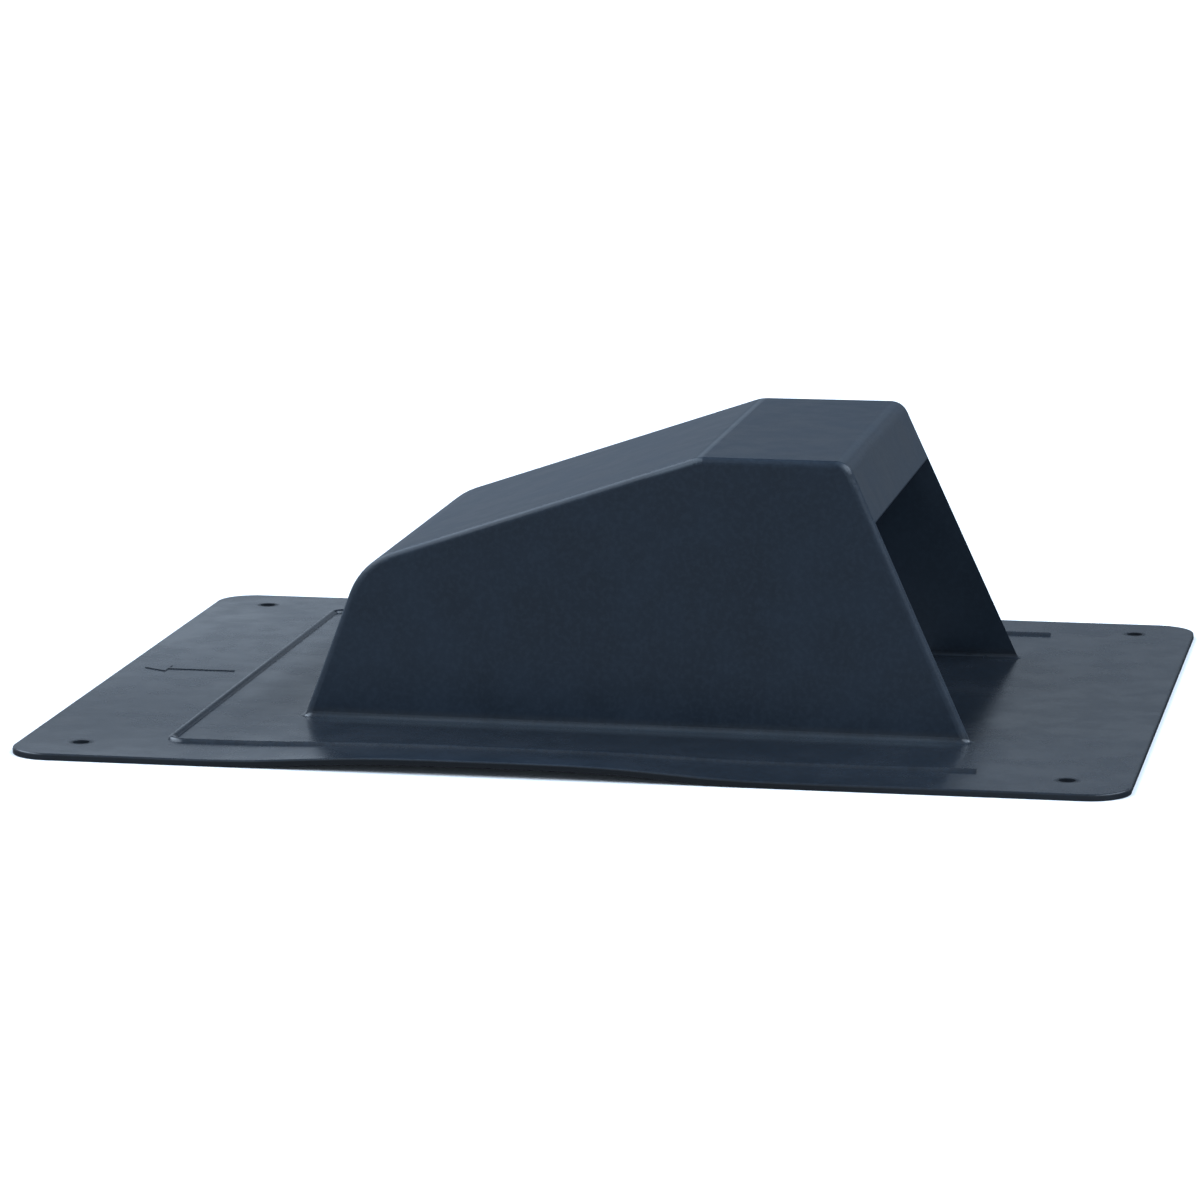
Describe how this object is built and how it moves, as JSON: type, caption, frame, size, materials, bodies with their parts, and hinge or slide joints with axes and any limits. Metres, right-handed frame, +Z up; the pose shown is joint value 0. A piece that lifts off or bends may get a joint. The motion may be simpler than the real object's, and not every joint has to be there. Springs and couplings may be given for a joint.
{
  "type": "roof cap vent",
  "caption": "One-piece moulded roof exhaust cap: a slant-backed hood, open down the slope, on a wide nailing flange with a water-turning bead.",
  "frame": {"origin": "middle of the flange's underside, which is the plane of the roof deck", "axes": "+Z up off the roof deck, +Y up the roof slope (the hood opens towards -Y), X across the roof"},
  "size_m": [0.272, 0.34, 0.087],
  "materials": {
    "moulded_plastic": "satin, fine mould texture"
  },
  "bodies": {
    "root": {"vent_body": "moulded_plastic"}
  },
  "joints": []
}
